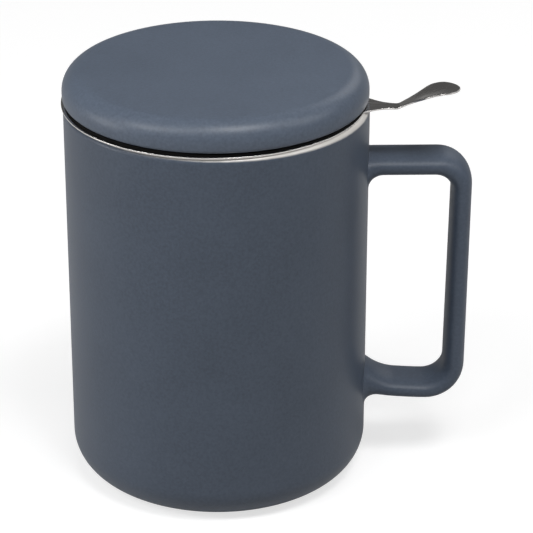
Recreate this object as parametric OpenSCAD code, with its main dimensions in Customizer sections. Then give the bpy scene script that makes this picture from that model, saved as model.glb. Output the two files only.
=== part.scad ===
// Lidded tea mug with a lift-out infuser.
// Origin: centre of the foot, on the table. +Z is up and the handle points along +X.

/* [Mug] */
// Outside diameter of the cup
mug_d = 86; // [80:1:94]
// Height of the cup from the table to the top of its lip
mug_h = 112.8; // [106:0.1:122]
// Thickness of the cup's wall
wall_t = 4; // [3.4:0.1:4.6]
// Radius of the outer edge of the lip
lip_outer_r = 1.6; // [1:0.1:2]
// Radius of the inner edge of the lip
lip_inner_r = 1.1; // [0.6:0.1:1.3]
// Radius where the outside wall turns under to the foot
heel_r = 10.5; // [8:0.5:13]

/* [Mug floor] */
// Thickness of the floor over the recess
floor_t = 5; // [4:0.5:7]
// Radius where the inside wall meets the floor
well_r = 8; // [5:0.5:9]
// Height of the foot ring under the floor
foot_h = 1.6; // [1:0.1:2.4]
// Width of the foot ring's flat, which stands on the table
foot_w = 4; // [3:0.5:5.5]
// Slope of the recess wall, measured across
foot_draft = 1.2; // [0.6:0.1:2]

/* [Handle] */
// Width of the handle strap, front to back
handle_w = 13; // [11:0.5:16]
// Thickness of the handle strap
handle_t = 5.7; // [5.6:0.1:6.8]
// Radius of the strap's long edges
handle_edge_r = 2.8; // [1.6:0.1:2.8]
// Reach of the handle from the cup's wall to its outer face
handle_reach = 29.5; // [25:0.1:34]
// Height of the handle over both arms
handle_h = 77; // [66:0.1:84]
// Drop from the lip to the handle's upper face
handle_drop = 15.7; // [12:0.1:20]
// Radius inside the upper bend of the strap
upper_bend_r = 4.2; // [3:0.1:6]
// Radius inside the lower bend of the strap
lower_bend_r = 5.5; // [3:0.1:7]

/* [Handle roots] */
// Spread of the upper root above the arm
upper_top = 0.1; // [0:0.1:2]
// Length of that spread along the arm
upper_top_l = 5.2; // [3:0.1:7]
// Spread of the upper root below the arm
upper_under = 3.1; // [2:0.1:4.5]
// Length of that spread along the arm
upper_under_l = 4.8; // [3:0.1:7]
// Spread of the lower root above the arm
lower_top = 3.6; // [1:0.1:4]
// Length of that spread along the arm
lower_top_l = 9; // [8.4:0.1:10]
// Spread of the lower root below the arm
lower_under = 0.9; // [0.6:0.1:4]
// Length of that spread along the arm
lower_under_l = 3.4; // [2:0.1:5]
// Spread of both roots to the front and back
root_side = 1.8; // [0.5:0.1:3]
// Length of that spread along the arm
root_side_l = 5; // [3:0.1:5]

/* [Infuser rim] */
// How far the edge of the flat rim stays inside the cup's outside
rim_inset = 0.2; // [0:0.1:1.2]
// Thickness of the rim, neck and lift tab
rim_t = 0.7; // [0.6:0.1:1]
// Gap round the neck inside the mouth of the cup
neck_gap = 1.2; // [1.1:0.1:1.6]
// Inside radius of the bend from rim to neck
neck_bend_r = 1; // [0.6:0.1:1.3]
// Height from the rim's top to the foot of the neck
neck_h = 8.4; // [7.4:0.1:11]
// How far the basket steps in below the neck
step_in = 3.3; // [2:0.1:4]
// Height of that step
step_h = 2.2; // [1.4:0.1:4]
// Height of the skirt that holds the basket wall
skirt_h = 4; // [3:0.1:6]

/* [Lift tab] */
// Reach of the lift tab beyond the rim
tab_reach = 25.9; // [23:0.1:30]
// Distance from the rim to the waist of the tab
tab_waist_at = 7.5; // [6:0.1:9.5]
// Width of the waist
tab_waist_w = 3.4; // [2.4:0.1:4.4]
// Radius of the hollow sides of the tab
tab_side_r = 15.4; // [13:0.1:20]
// Width of the spoon at the end of the tab
spoon_w = 10.2; // [8:0.1:12]
// Length of the spoon
spoon_l = 13.4; // [11:0.2:15]
// Height of the spoon above the rim
tab_rise = 5.9; // [4.5:0.1:7]
// Slope of the tab between waist and spoon, in degrees
tab_slope = 29.5; // [25:0.5:36]
// Bend radius at the waist, on the tab's upper face
waist_bend_r = 2.2; // [1.6:0.2:4]
// Bend radius below the spoon, on its lower face
spoon_bend_r = 12.6; // [8:0.2:15]

/* [Basket] */
// Height of the basket's underside above the table
basket_lift = 36; // [24:0.5:48]
// Thickness of the perforated sheet
sheet_t = 0.5; // [0.4:0.05:0.6]
// Gap between sheets that are welded together
lap_gap = 0.05; // [0.04:0.01:0.08]
// Width of the lap seam down the basket wall
seam_w = 5; // [3:0.5:7]
// Height of the floor's turned-up edge
floor_edge_h = 5; // [4:0.5:8]
// Inside radius between the basket's floor and its edge
floor_bend_r = 1.6; // [1:0.1:2.5]

/* [Perforations] */
// Diameter of the holes in the basket
hole_d = 2.4; // [1.6:0.1:3]
// Spacing of the holes
hole_pitch = 8; // [7.4:0.1:10]
// Plain band beside the edges and the seam
hole_margin = 2.4; // [2:0.1:4]

/* [Lid] */
// How far the lid's edge stays inside the cup's outside
lid_inset = 0; // [-0.8:0.1:0.8]
// Thickness of the lid at its edge
lid_t = 8.3; // [7.6:0.1:10]
// Radius of the lid's upper edge
lid_edge_r = 5.8; // [4:0.1:6.4]
// Radius of the lid's lower edge
lid_lower_r = 0.6; // [0.3:0.1:1]
// Depth of the ring under the lid that drops into the neck
plug_h = 5; // [4:0.1:5.6]
// Width of that ring
plug_w = 4; // [3:0.1:6]
// Gap between the seal's sleeve and the neck
plug_gap = 1; // [0.8:0.1:1.4]
// Radius of the ring's lower edges
plug_edge_r = 0.8; // [0.4:0.1:1.4]
// Depth of the recess in the lid inside the ring
lid_recess = 2.4; // [1:0.1:3]

/* [Seal] */
// Thickness of the seal between the lid and the rim
seal_t = 0.7; // [0.6:0.1:1.4]
// How far the seal stays inside the lid's edge
seal_inset = 0.6; // [0.3:0.1:1]
// Thickness of the seal's sleeve round the ring
sleeve_t = 0.8; // [0.6:0.1:1.2]
// Height of the sleeve below the seal's flat
sleeve_h = 2.6; // [1.6:0.1:2.8]
// Gap between the seal and the lid's ring
seal_fit = 0.05; // [0.04:0.01:0.08]

/* [Seating] */
// Gap under the rim and under the seal, where each rests on the piece below it
rest_gap = 0.05; // [0.03:0.01:0.1]
// How far the loose infuser sits towards the side away from the handle
infuser_shift = 0.7; // [0:0.1:0.7]
// Turn of the loose infuser about its own axis, in degrees
infuser_turn = -7.2; // [-12:0.1:12]
// How far the loose lid sits towards that side
lid_shift = 0.2; // [0:0.1:0.7]

/* [Hidden] */
// Segments on the large rounds and on the small holes
$fn = 128;
hole_fn = 24;
// Overlap that lets a cut run past a face, and one that joins two stretches of a shape
past = 1;
join = 0.05;

// Cup
mug_r = mug_d / 2;
mouth_r = mug_r - wall_t;
floor_z = foot_h + floor_t;
stand_r = mug_r - heel_r;
recess_r = stand_r - foot_w;

// Handle: the arms' mid heights and the mid line of the upright
strap_mid = handle_t / 2;
arm_top_z = mug_h - handle_drop - strap_mid;
arm_low_z = mug_h - handle_drop - handle_h + strap_mid;
upright_x = mug_r + handle_reach - strap_mid;
upper_mid_r = upper_bend_r + strap_mid;
lower_mid_r = lower_bend_r + strap_mid;
// Centres of the two bends
upper_x = upright_x - upper_mid_r;
upper_z = arm_top_z - upper_mid_r;
lower_x = upright_x - lower_mid_r;
lower_z = arm_low_z + lower_mid_r;
// How deep the arms start inside the wall before they are cut to its curve
root_bite = wall_t / 2;
// Where the roots' slices lie, as shares of a root's length
upper_steps = [0, 0.2, 0.55, 1];
lower_steps = [0, 0.12, 0.32, 0.6, 1];
// Thickness of the slices that a root is stretched between, and segments on their corners
slice_t = 0.01;
root_fn = 24;

// Infuser: radii of the neck, the skirt and the basket, and heights from the rim's top down
rim_r = mug_r - rim_inset;
neck_r = mouth_r - neck_gap;
neck_bore_r = neck_r - rim_t;
skirt_r = neck_r - step_in;
skirt_bore_r = skirt_r - rim_t;
basket_r = skirt_bore_r - lap_gap;
basket_bore_r = basket_r - sheet_t;
rim_foot_z = mug_h + rest_gap;
rim_top_z = rim_foot_z + rim_t;
neck_foot_z = rim_top_z - neck_h;
step_foot_z = neck_foot_z - step_h;
skirt_foot_z = step_foot_z - skirt_h;

// Basket: the wall stands where the floor's bend ends
edge_bore_r = basket_r + lap_gap;
edge_r = edge_bore_r + sheet_t;
floor_top_z = basket_lift + sheet_t;
wall_foot_z = floor_top_z + floor_bend_r;
edge_top_z = wall_foot_z + floor_edge_h;
flat_r = edge_bore_r - floor_bend_r;

// Perforations: rows and columns lie in a triangular pattern
row_step = hole_pitch * sin(60);
rows_low_z = edge_top_z + hole_margin;
rows_high_z = skirt_foot_z - hole_margin;
n_rows = floor((rows_high_z - rows_low_z) / row_step) + 1;
seam_angle = 360 * seam_w / (2 * PI * basket_r);
seam_free = seam_angle + 360 * 2 * hole_margin / (2 * PI * basket_r);
n_cols = floor((360 - seam_free) * PI * basket_r / 180 / hole_pitch);
col_step = (360 - seam_free) / n_cols;
n_floor = floor((flat_r - hole_margin) / hole_pitch);

// Lid and seal
lid_r = mug_r - lid_inset;
seal_r = lid_r - seal_inset;
sleeve_r = neck_bore_r - plug_gap;
plug_r = sleeve_r - sleeve_t - seal_fit;
seal_foot_z = rim_top_z + rest_gap;
lid_z = seal_foot_z + seal_t;

// Lift tab, measured from the infuser's axis
waist_x = rim_r + tab_waist_at;
tip_x = rim_r + tab_reach;
spoon_x = tip_x - spoon_l / 2;
// The tab starts inside the rim's edge, so that the two are one sheet
tab_overlap = 2;
tab_root_x = rim_r - tab_overlap;
// Angle between the points on the spoon's oval
oval_step = 6;
waist_path_r = waist_bend_r + rim_t;
spoon_path_r = spoon_bend_r + rim_t;
bends_rise = (waist_bend_r + spoon_path_r) * (1 - cos(tab_slope));
slope_l = (tab_rise - bends_rise) / sin(tab_slope);

// A round tube standing on z = low
module tube(outer_r, inner_r, low, high) {
    translate([0, 0, low]) difference() {
        cylinder(r = outer_r, h = high - low);
        translate([0, 0, -past]) cylinder(r = inner_r, h = high - low + 2 * past);
    }
}

// Half of the cup's section before it is hollowed
module cup_outline() {
    square([stand_r, mug_h - lip_outer_r]);
    translate([0, heel_r]) square([mug_r, mug_h - heel_r - lip_outer_r]);
    translate([stand_r, heel_r]) circle(r = heel_r);
    translate([0, heel_r]) square([mug_r - lip_outer_r, mug_h - heel_r]);
    translate([mug_r - lip_outer_r, mug_h - lip_outer_r]) circle(r = lip_outer_r);
}

// The hollow of the cup, with its round well and the eased inner edge of the lip
module cup_hollow() {
    translate([0, floor_z]) square([mouth_r - well_r, mug_h]);
    translate([0, floor_z + well_r]) square([mouth_r, mug_h]);
    translate([mouth_r - well_r, floor_z + well_r]) circle(r = well_r);
    difference() {
        translate([0, mug_h - lip_inner_r]) square([mouth_r + lip_inner_r, mug_h]);
        translate([mouth_r + lip_inner_r, mug_h - lip_inner_r]) circle(r = lip_inner_r);
    }
}

// The recess inside the foot ring
module foot_recess() {
    polygon([[0, -past], [recess_r, -past], [recess_r, 0], [recess_r - foot_draft, foot_h], [0, foot_h]]);
}

// Porcelain cup
module mug_body() {
    color("slategray") rotate_extrude() {
        difference() {
            intersection() {
                cup_outline();
                square([mug_r, mug_h]);
            }
            cup_hollow();
            foot_recess();
        }
    }
}

// A rectangle with round corners, centred
module strap_section(w, t) {
    square([w - 2 * handle_edge_r, t], center = true);
    square([w, t - 2 * handle_edge_r], center = true);
    for (x = [-1, 1], y = [-1, 1]) {
        translate([x * (w / 2 - handle_edge_r), y * (t / 2 - handle_edge_r)]) circle(r = handle_edge_r);
    }
}

// A straight run of the strap along +X, from x = from to x = to
module strap_run(from, to) {
    translate([from, 0, 0]) rotate([90, 0, 90]) linear_extrude(to - from)
        strap_section(handle_w, handle_t);
}

// A quarter bend of the strap from +X down to -Z, with its mid line at radius r
module strap_bend(r) {
    rotate([90, 0, 0]) rotate_extrude(angle = 90)
        translate([r, 0]) rotate(90) strap_section(handle_w, handle_t);
}

// Share of a root's spread that is left at a distance along the arm
function spread_at(x, length) = x < length ? pow(1 - x / length, 2) : 0;

// One slice of a root, at distance x from the wall
module root_slice(x, top, top_l, under, under_l, thick = slice_t) {
    above = top * spread_at(x, top_l);
    below = under * spread_at(x, under_l);
    side = root_side * spread_at(x, root_side_l);
    translate([mug_r + x, 0, (above - below) / 2]) rotate([90, 0, 90]) linear_extrude(thick)
        strap_section(handle_w + 2 * side, handle_t + above + below, $fn = root_fn);
}

// The spread root of an arm
module root(steps, top, top_l, under, under_l) {
    length = max(top_l, under_l, root_side_l);
    for (i = [0 : len(steps) - 2]) {
        hull() {
            root_slice(steps[i] * length, top, top_l, under, under_l);
            root_slice(steps[i + 1] * length, top, top_l, under, under_l);
        }
    }
    translate([-root_bite, 0, 0]) root_slice(0, top, top_l, under, under_l, root_bite);
}

// Square porcelain handle, cut to the curve of the wall it is joined to
module mug_handle() {
    color("slategray") difference() {
        union() {
            translate([0, 0, arm_top_z]) {
                strap_run(mug_r - root_bite, upper_x);
                root(upper_steps, upper_top, upper_top_l, upper_under, upper_under_l);
            }
            translate([upper_x, 0, upper_z]) strap_bend(upper_mid_r);
            translate([upright_x, 0, lower_z]) linear_extrude(upper_z - lower_z)
                rotate(90) strap_section(handle_w, handle_t);
            translate([lower_x, 0, lower_z]) mirror([0, 0, 1]) strap_bend(lower_mid_r);
            translate([0, 0, arm_low_z]) {
                strap_run(mug_r - root_bite, lower_x);
                root(lower_steps, lower_top, lower_top_l, lower_under, lower_under_l);
            }
        }
        cylinder(r = mug_r, h = mug_h);
    }
}

// Moves a shape to where the loose infuser sits
module seat_infuser() {
    translate([-infuser_shift, 0, 0]) rotate(infuser_turn) children();
}

// Half of the section of the rim, its bend, the neck, the step and the skirt
module rim_section() {
    bend_x = neck_r + neck_bend_r;
    bend_z = rim_foot_z - neck_bend_r;
    translate([bend_x, rim_foot_z]) square([rim_r - bend_x, rim_t]);
    intersection() {
        translate([bend_x, bend_z]) difference() {
            circle(r = neck_bend_r + rim_t);
            circle(r = neck_bend_r);
        }
        translate([0, bend_z]) square([bend_x, rim_top_z]);
    }
    translate([neck_bore_r, neck_foot_z]) square([rim_t, bend_z - neck_foot_z]);
    polygon([
        [neck_bore_r, neck_foot_z],
        [neck_r, neck_foot_z],
        [skirt_r, step_foot_z],
        [skirt_bore_r, step_foot_z]
    ]);
    translate([skirt_bore_r, skirt_foot_z]) square([rim_t, step_foot_z - skirt_foot_z]);
}

// Outline of the lift tab from above: hollow sides and an oval spoon
module tab_outline() {
    difference() {
        translate([tab_root_x, -spoon_w / 2]) square([spoon_x - tab_root_x, spoon_w]);
        for (side = [-1, 1]) {
            translate([waist_x, side * (tab_waist_w / 2 + tab_side_r)]) circle(r = tab_side_r);
        }
    }
    translate([spoon_x, 0])
        polygon([for (a = [0 : oval_step : 360 - oval_step])
            [spoon_l / 2 * cos(a), spoon_w / 2 * sin(a)]]);
}

// A bent piece of sheet seen from the side: inner radius r, turning through an angle
module bend_section(r, from, turn) {
    far = 2 * (r + rim_t);
    intersection() {
        difference() {
            circle(r = r + rim_t);
            circle(r = r);
        }
        polygon([
            [0, 0],
            far * [cos(from), sin(from)],
            far * [cos(from + turn / 2), sin(from + turn / 2)],
            far * [cos(from + turn), sin(from + turn)]
        ]);
    }
}

// Side view of the lift tab: flat, bent up at the waist and level again at the spoon
module tab_section() {
    translate([tab_root_x, rim_foot_z]) square([waist_x - tab_root_x + join, rim_t]);
    translate([waist_x, rim_top_z + waist_bend_r]) bend_section(waist_bend_r, -90, tab_slope);
    translate([waist_x + waist_path_r * sin(tab_slope),
               rim_foot_z + waist_path_r * (1 - cos(tab_slope))])
        rotate(tab_slope) translate([-join, 0]) square([slope_l + 2 * join, rim_t]);
    level_x = waist_x + waist_path_r * sin(tab_slope) + slope_l * cos(tab_slope)
        + spoon_bend_r * sin(tab_slope);
    translate([level_x, rim_foot_z + tab_rise - spoon_bend_r])
        bend_section(spoon_bend_r, 90, tab_slope);
    translate([level_x - join, rim_foot_z + tab_rise]) square([tip_x - level_x + join, rim_t]);
}

// Steel rim with its neck, skirt and lift tab, pressed from one sheet
module infuser_rim() {
    color("silver") seat_infuser() {
        rotate_extrude() rim_section();
        intersection() {
            translate([0, 0, rim_foot_z - past]) linear_extrude(tab_rise + rim_t + 2 * past) tab_outline();
            rotate([90, 0, 0]) translate([0, 0, -spoon_w]) linear_extrude(2 * spoon_w) tab_section();
        }
    }
}

// Rolled and perforated wall of the basket, with its lap seam inside
module basket_wall() {
    color("lightgray") seat_infuser() {
        difference() {
            tube(basket_r, basket_bore_r, wall_foot_z, step_foot_z);
            for (row = [0 : n_rows - 1], col = [0 : n_cols - 1]) {
                stagger = (row % 2 == 0 ? -1 : 1) * col_step / 4;
                angle = 180 + seam_free / 2 + (col + 1 / 2) * col_step + stagger;
                translate([0, 0, rows_low_z + row * row_step]) rotate([0, 90, angle])
                    translate([0, 0, basket_bore_r - past])
                    cylinder(d = hole_d, h = sheet_t + 2 * past, $fn = hole_fn);
            }
        }
        translate([0, 0, wall_foot_z]) rotate(180 - seam_angle / 2) rotate_extrude(angle = seam_angle)
            translate([basket_bore_r - sheet_t, 0])
            square([sheet_t + join, step_foot_z - wall_foot_z]);
    }
}

// Half of the section of the basket floor with its turned-up edge
module floor_section() {
    translate([0, basket_lift]) square([flat_r, sheet_t]);
    translate([flat_r, wall_foot_z]) intersection() {
        difference() {
            circle(r = floor_bend_r + sheet_t);
            circle(r = floor_bend_r);
        }
        translate([0, -wall_foot_z]) square([edge_r, wall_foot_z]);
    }
    translate([edge_bore_r, wall_foot_z]) square([sheet_t, floor_edge_h]);
}

// Perforated floor pressed over the foot of the wall
module basket_floor() {
    color("gainsboro") seat_infuser() difference() {
        rotate_extrude() floor_section();
        for (i = [-n_floor : n_floor], j = [-n_floor : n_floor]) {
            x = (i + j / 2) * hole_pitch;
            y = j * row_step;
            if (norm([x, y]) < flat_r - hole_margin) {
                translate([x, y, basket_lift - past])
                    cylinder(d = hole_d, h = sheet_t + 2 * past, $fn = hole_fn);
            }
        }
    }
}

// Half of the lid's section: a thick disc with a round shoulder and a ring below
module lid_section() {
    difference() {
        union() {
            square([lid_r - lid_edge_r, lid_t]);
            translate([0, lid_lower_r]) square([lid_r, lid_t - lid_edge_r - lid_lower_r]);
            square([lid_r - lid_lower_r, lid_t - lid_edge_r]);
            translate([lid_r - lid_lower_r, lid_lower_r]) circle(r = lid_lower_r);
            translate([lid_r - lid_edge_r, lid_t - lid_edge_r]) circle(r = lid_edge_r);
        }
        translate([0, -lid_t]) square([lid_r, lid_t]);
    }
    translate([plug_r - plug_w, plug_edge_r - plug_h]) square([plug_w, plug_h]);
    translate([plug_r - plug_w + plug_edge_r, -plug_h])
        square([plug_w - 2 * plug_edge_r, plug_h]);
    for (x = [plug_r - plug_w + plug_edge_r, plug_r - plug_edge_r]) {
        translate([x, plug_edge_r - plug_h]) circle(r = plug_edge_r);
    }
}

// Porcelain lid
module lid() {
    color("slategray") translate([-lid_shift, 0, lid_z]) difference() {
        rotate_extrude() lid_section();
        translate([0, 0, -past]) cylinder(r = plug_r - plug_w, h = lid_recess + past);
    }
}

// Dark seal stretched round the ring under the lid
module lid_seal() {
    color("black") translate([-lid_shift, 0, 0]) {
        tube(seal_r, plug_r + seal_fit, seal_foot_z, lid_z);
        tube(sleeve_r, plug_r + seal_fit, seal_foot_z - sleeve_h, seal_foot_z);
    }
}

mug_body();
mug_handle();
infuser_rim();
basket_wall();
basket_floor();
lid();
lid_seal();
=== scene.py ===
"""A lidded tea mug with a lift-out infuser: its shapes, its finishes and the studio it stands in.

All lengths are in metres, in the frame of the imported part: the origin is the centre of the
foot, +Z is up and the handle points along +X.
"""
import logging
import math
from dataclasses import dataclass
from enum import IntEnum
from typing import Sequence

import bmesh
import bpy
from bmesh.types import BMEdge, BMesh, BMFace, BMVert
from bpy.types import Material, Node, NodeSocket, NodeTree, Object
from mathutils import Matrix, Quaternion, Vector


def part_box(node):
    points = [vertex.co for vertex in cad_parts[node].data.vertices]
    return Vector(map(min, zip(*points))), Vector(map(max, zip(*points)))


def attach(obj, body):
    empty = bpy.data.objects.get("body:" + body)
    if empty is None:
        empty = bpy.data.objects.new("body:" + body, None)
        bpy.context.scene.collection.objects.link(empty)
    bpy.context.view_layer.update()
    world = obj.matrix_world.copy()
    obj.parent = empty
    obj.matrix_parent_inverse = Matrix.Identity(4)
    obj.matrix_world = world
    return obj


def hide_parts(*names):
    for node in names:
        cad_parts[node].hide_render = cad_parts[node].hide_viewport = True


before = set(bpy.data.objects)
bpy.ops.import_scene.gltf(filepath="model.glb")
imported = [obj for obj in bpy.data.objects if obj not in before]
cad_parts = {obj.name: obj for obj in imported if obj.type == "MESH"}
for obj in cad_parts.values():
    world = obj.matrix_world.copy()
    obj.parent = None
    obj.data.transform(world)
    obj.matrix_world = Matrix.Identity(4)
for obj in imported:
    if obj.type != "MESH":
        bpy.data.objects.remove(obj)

LOG = logging.getLogger("tea_mug")
MM = 0.001
# Two points closer than this are one point
SAME = 1e-6
# Edges that turn by more than this stay crisp
CRISP = math.radians(38)

# How much an edge must turn to be eased, and the number of chords across it then
EASE_ANGLE = math.radians(50)
EASE_STEPS = 3
GLAZE_IOR = 1.5
# Where most of a noise's values lie
NOISE_BAND = (0.3, 0.7)
INFUSER_TURN = -7.2
REST_GAP = 0.05 * MM

Point = tuple[float, float]
Band = tuple[float, float]
Triple = tuple[float, float, float]
Colour = tuple[float, float, float]

SLATE: Colour = (0.075, 0.0945, 0.129)
# The lid wears the cup's slate glaze painted lighter and bluer, as painted light on the lid's top
LID_SLATE_PAINTED_LIGHTER: Colour = (0.104, 0.129, 0.172)
BASKET_STEEL: Colour = (0.70, 0.69, 0.68)


# ---------------------------------------------------------------- shaping helpers


def arc(centre: Point, radius: float, start: float, end: float, steps: int) -> list[Point]:
    """Points along an arc in a section through the axis.

    Args:
        centre: Distance from the axis and height of the arc's centre.
        radius: Radius of the arc.
        start: Angle of the first point in degrees; 0 points outward and 90 up.
        end: Angle of the last point in degrees.
        steps: Number of chords.

    Returns:
        The points, both ends included.
    """
    angles = [math.radians(start + (end - start) * i / steps) for i in range(steps + 1)]
    return [(centre[0] + radius * math.cos(a), centre[1] + radius * math.sin(a)) for a in angles]


def eased(corners: Sequence[Point], radius: float, steps: int) -> list[Point]:
    """A bent line whose inner corners are rounded by quadratic curves.

    Args:
        corners: The corners of the line, ends included.
        radius: How far from a corner its curve starts and ends.
        steps: Number of chords on each curve.

    Returns:
        The points of the rounded line.
    """
    line = [Vector(corner) for corner in corners]
    points = [line[0]]
    for before, corner, after in zip(line, line[1:], line[2:]):
        start = corner + (before - corner).normalized() * radius
        end = corner + (after - corner).normalized() * radius
        for i in range(steps + 1):
            t = i / steps
            points.append(start * (1 - t) ** 2 + corner * 2 * t * (1 - t) + end * t * t)
    points.append(line[-1])
    return [(p.x, p.y) for p in points]


@dataclass(frozen=True)
class Stretch:
    """A stretch of a turned section that wears one finish."""

    points: Sequence[Point]
    finish: int = 0


def turn_stretch(bm: BMesh, stretch: Stretch, segments: int) -> None:
    """Spins a stretch of a section about the Z axis.

    Args:
        bm: The mesh that takes the turned faces.
        stretch: The stretch, as distances from the axis and heights.
        segments: Number of faces round the turn.
    """
    verts = [bm.verts.new((r, 0.0, z)) for r, z in stretch.points]
    edges = [bm.edges.new(pair) for pair in zip(verts, verts[1:])]
    known = set(bm.faces)
    bmesh.ops.spin(
        bm,
        geom=verts + edges,
        cent=(0, 0, 0),
        axis=(0, 0, 1),
        dvec=(0, 0, 0),
        angle=math.tau,
        steps=segments,
        use_merge=True,
        use_duplicate=False,
    )
    for face in bm.faces:
        if face not in known:
            face.material_index = stretch.finish


def turned(stretches: Sequence[Stretch], segments: int) -> BMesh:
    """Turns a whole section into one closed mesh.

    Args:
        stretches: The stretches of the section, each starting where the last one ends.
        segments: Number of faces round the turn.

    Returns:
        The mesh, with its seams and poles closed and its faces pointing outward.
    """
    bm = bmesh.new()
    for stretch in stretches:
        turn_stretch(bm, stretch, segments)
    bmesh.ops.remove_doubles(bm, verts=bm.verts, dist=SAME)
    bmesh.ops.recalc_face_normals(bm, faces=bm.faces)
    return bm


def shift(bm: BMesh, along_x: float, turn: float = 0.0) -> None:
    """Turns a whole mesh about the Z axis and then moves it along X.

    Args:
        bm: The mesh.
        along_x: The move after the turn.
        turn: The turn, in degrees.
    """
    matrix = Matrix.Translation((along_x, 0, 0)) @ Matrix.Rotation(math.radians(turn), 4, "Z")
    bmesh.ops.transform(bm, matrix=matrix, verts=bm.verts)


def next_row(bm: BMesh, edges: Sequence[BMEdge]) -> tuple[list[BMEdge], list[BMVert]]:
    """Extrudes a row of edges, and leaves the new row where the old one is.

    Args:
        bm: The mesh that holds the edges.
        edges: The row.

    Returns:
        The new row's edges and its points.
    """
    grown = bmesh.ops.extrude_edge_only(bm, edges=edges)["geom"]
    row = [item for item in grown if isinstance(item, BMEdge)]
    return row, [item for item in grown if isinstance(item, BMVert)]


def mesh_object(bm: BMesh, name: str, finishes: Sequence[Material]) -> Object:
    """Makes a mesh into an object in the scene.

    Args:
        bm: The mesh, which is used up.
        name: The object's name.
        finishes: Its materials, in the order that its faces count them.

    Returns:
        The object.
    """
    mesh = bpy.data.meshes.new(name)
    bm.to_mesh(mesh)
    bm.free()
    for finish in finishes:
        mesh.materials.append(finish)
    thing = bpy.data.objects.new(name, mesh)
    bpy.context.scene.collection.objects.link(thing)
    return thing


@dataclass(frozen=True)
class Placing:
    """Where a piece belongs: its body and the nodes that it stands for, with the name of a
    material slot that is not used.
    """

    name: str
    body: str
    slot: str
    nodes: tuple[str, ...] = ()


def make_piece(bm: BMesh, placing: Placing, finishes: Sequence[Material]) -> Object:
    """Makes a mesh into a finished piece that rides on its body.

    Args:
        bm: The mesh, which is used up.
        placing: Where the piece belongs.
        finishes: Its materials, in the order that its faces count them.

    Returns:
        The piece's object.
    """
    piece = mesh_object(bm, placing.name, finishes)
    piece.data.shade_smooth()
    piece.data.set_sharp_from_angle(angle=CRISP)
    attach(piece, placing.body)
    if placing.nodes:
        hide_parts(*placing.nodes)
    LOG.info("%s: %d faces on body %s", placing.name, len(piece.data.polygons), placing.body)
    return piece


def thicken(piece: Object, thickness: float, edge: float = 0.0) -> None:
    """Gives a sheet its thickness, behind its faces, and eases its cut edges.

    Args:
        piece: The sheet.
        thickness: Thickness of the sheet.
        edge: Width of the eased edge, or 0 for a crisp one.
    """
    wall = piece.modifiers.new("sheet_thickness", "SOLIDIFY")
    wall.thickness = thickness
    wall.offset = -1
    wall.use_even_offset = True
    wall.use_quality_normals = True
    if edge > 0:
        ease = piece.modifiers.new("eased_edge", "BEVEL")
        ease.width = edge
        ease.segments = EASE_STEPS
        ease.limit_method = "ANGLE"
        ease.angle_limit = EASE_ANGLE


# ---------------------------------------------------------------- finishes


class Nodes:
    """A node tree, with short calls for the nodes that the finishes and the studio share."""

    def __init__(self, tree: NodeTree, output: str) -> None:
        """Empties a tree and adds its output.

        Args:
            tree: The tree.
            output: The kind of its output node.
        """
        self.tree = tree
        self.tree.nodes.clear()
        self.output = self.add(output)

    def add(self, kind: str) -> Node:
        """Adds a node of a kind."""
        return self.tree.nodes.new("ShaderNode" + kind)

    def put(self, value: NodeSocket | Colour | float, target: NodeSocket) -> None:
        """Links a socket to a node's input, or sets the input to a colour or number.

        Args:
            value: The socket, colour or number.
            target: The node's input.
        """
        if isinstance(value, NodeSocket):
            self.tree.links.new(value, target)
        else:
            target.default_value = (*value, 1.0) if isinstance(value, tuple) else value

    def coordinates(self, kind: str) -> NodeSocket:
        """Coordinates of a kind."""
        return self.add("TexCoord").outputs[kind]

    def along(self, place: NodeSocket, axis: str) -> NodeSocket:
        """One of three coordinates.

        Args:
            place: The coordinates.
            axis: X, Y or Z.

        Returns:
            The coordinate's socket.
        """
        node = self.add("SeparateXYZ")
        self.put(place, node.inputs[0])
        return node.outputs[axis]

    def math(self, operation: str, first: NodeSocket, second: NodeSocket | float) -> NodeSocket:
        """One step of arithmetic.

        Args:
            operation: The step, in Blender's word for it.
            first: The first value.
            second: The second value, a socket or a number.

        Returns:
            The result's socket.
        """
        node = self.add("Math")
        node.operation = operation
        self.put(first, node.inputs[0])
        self.put(second, node.inputs[1])
        return node.outputs[0]

    def spread(
        self,
        value: NodeSocket,
        source: Band,
        low: NodeSocket | float = 0.0,
        high: NodeSocket | float = 1.0,
    ) -> NodeSocket:
        """Maps a value from one range to another, clamped at its ends.

        Args:
            value: The value.
            source: The ends of the range that is mapped.
            low: What its lower end becomes.
            high: What its upper end becomes.

        Returns:
            The mapped value's socket.
        """
        node = self.add("MapRange")
        node.clamp = True
        keys = ("Value", "From Min", "From Max", "To Min", "To Max")
        for key, setting in zip(keys, (value, *source, low, high)):
            self.put(setting, node.inputs[key])
        return node.outputs["Result"]


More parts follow.
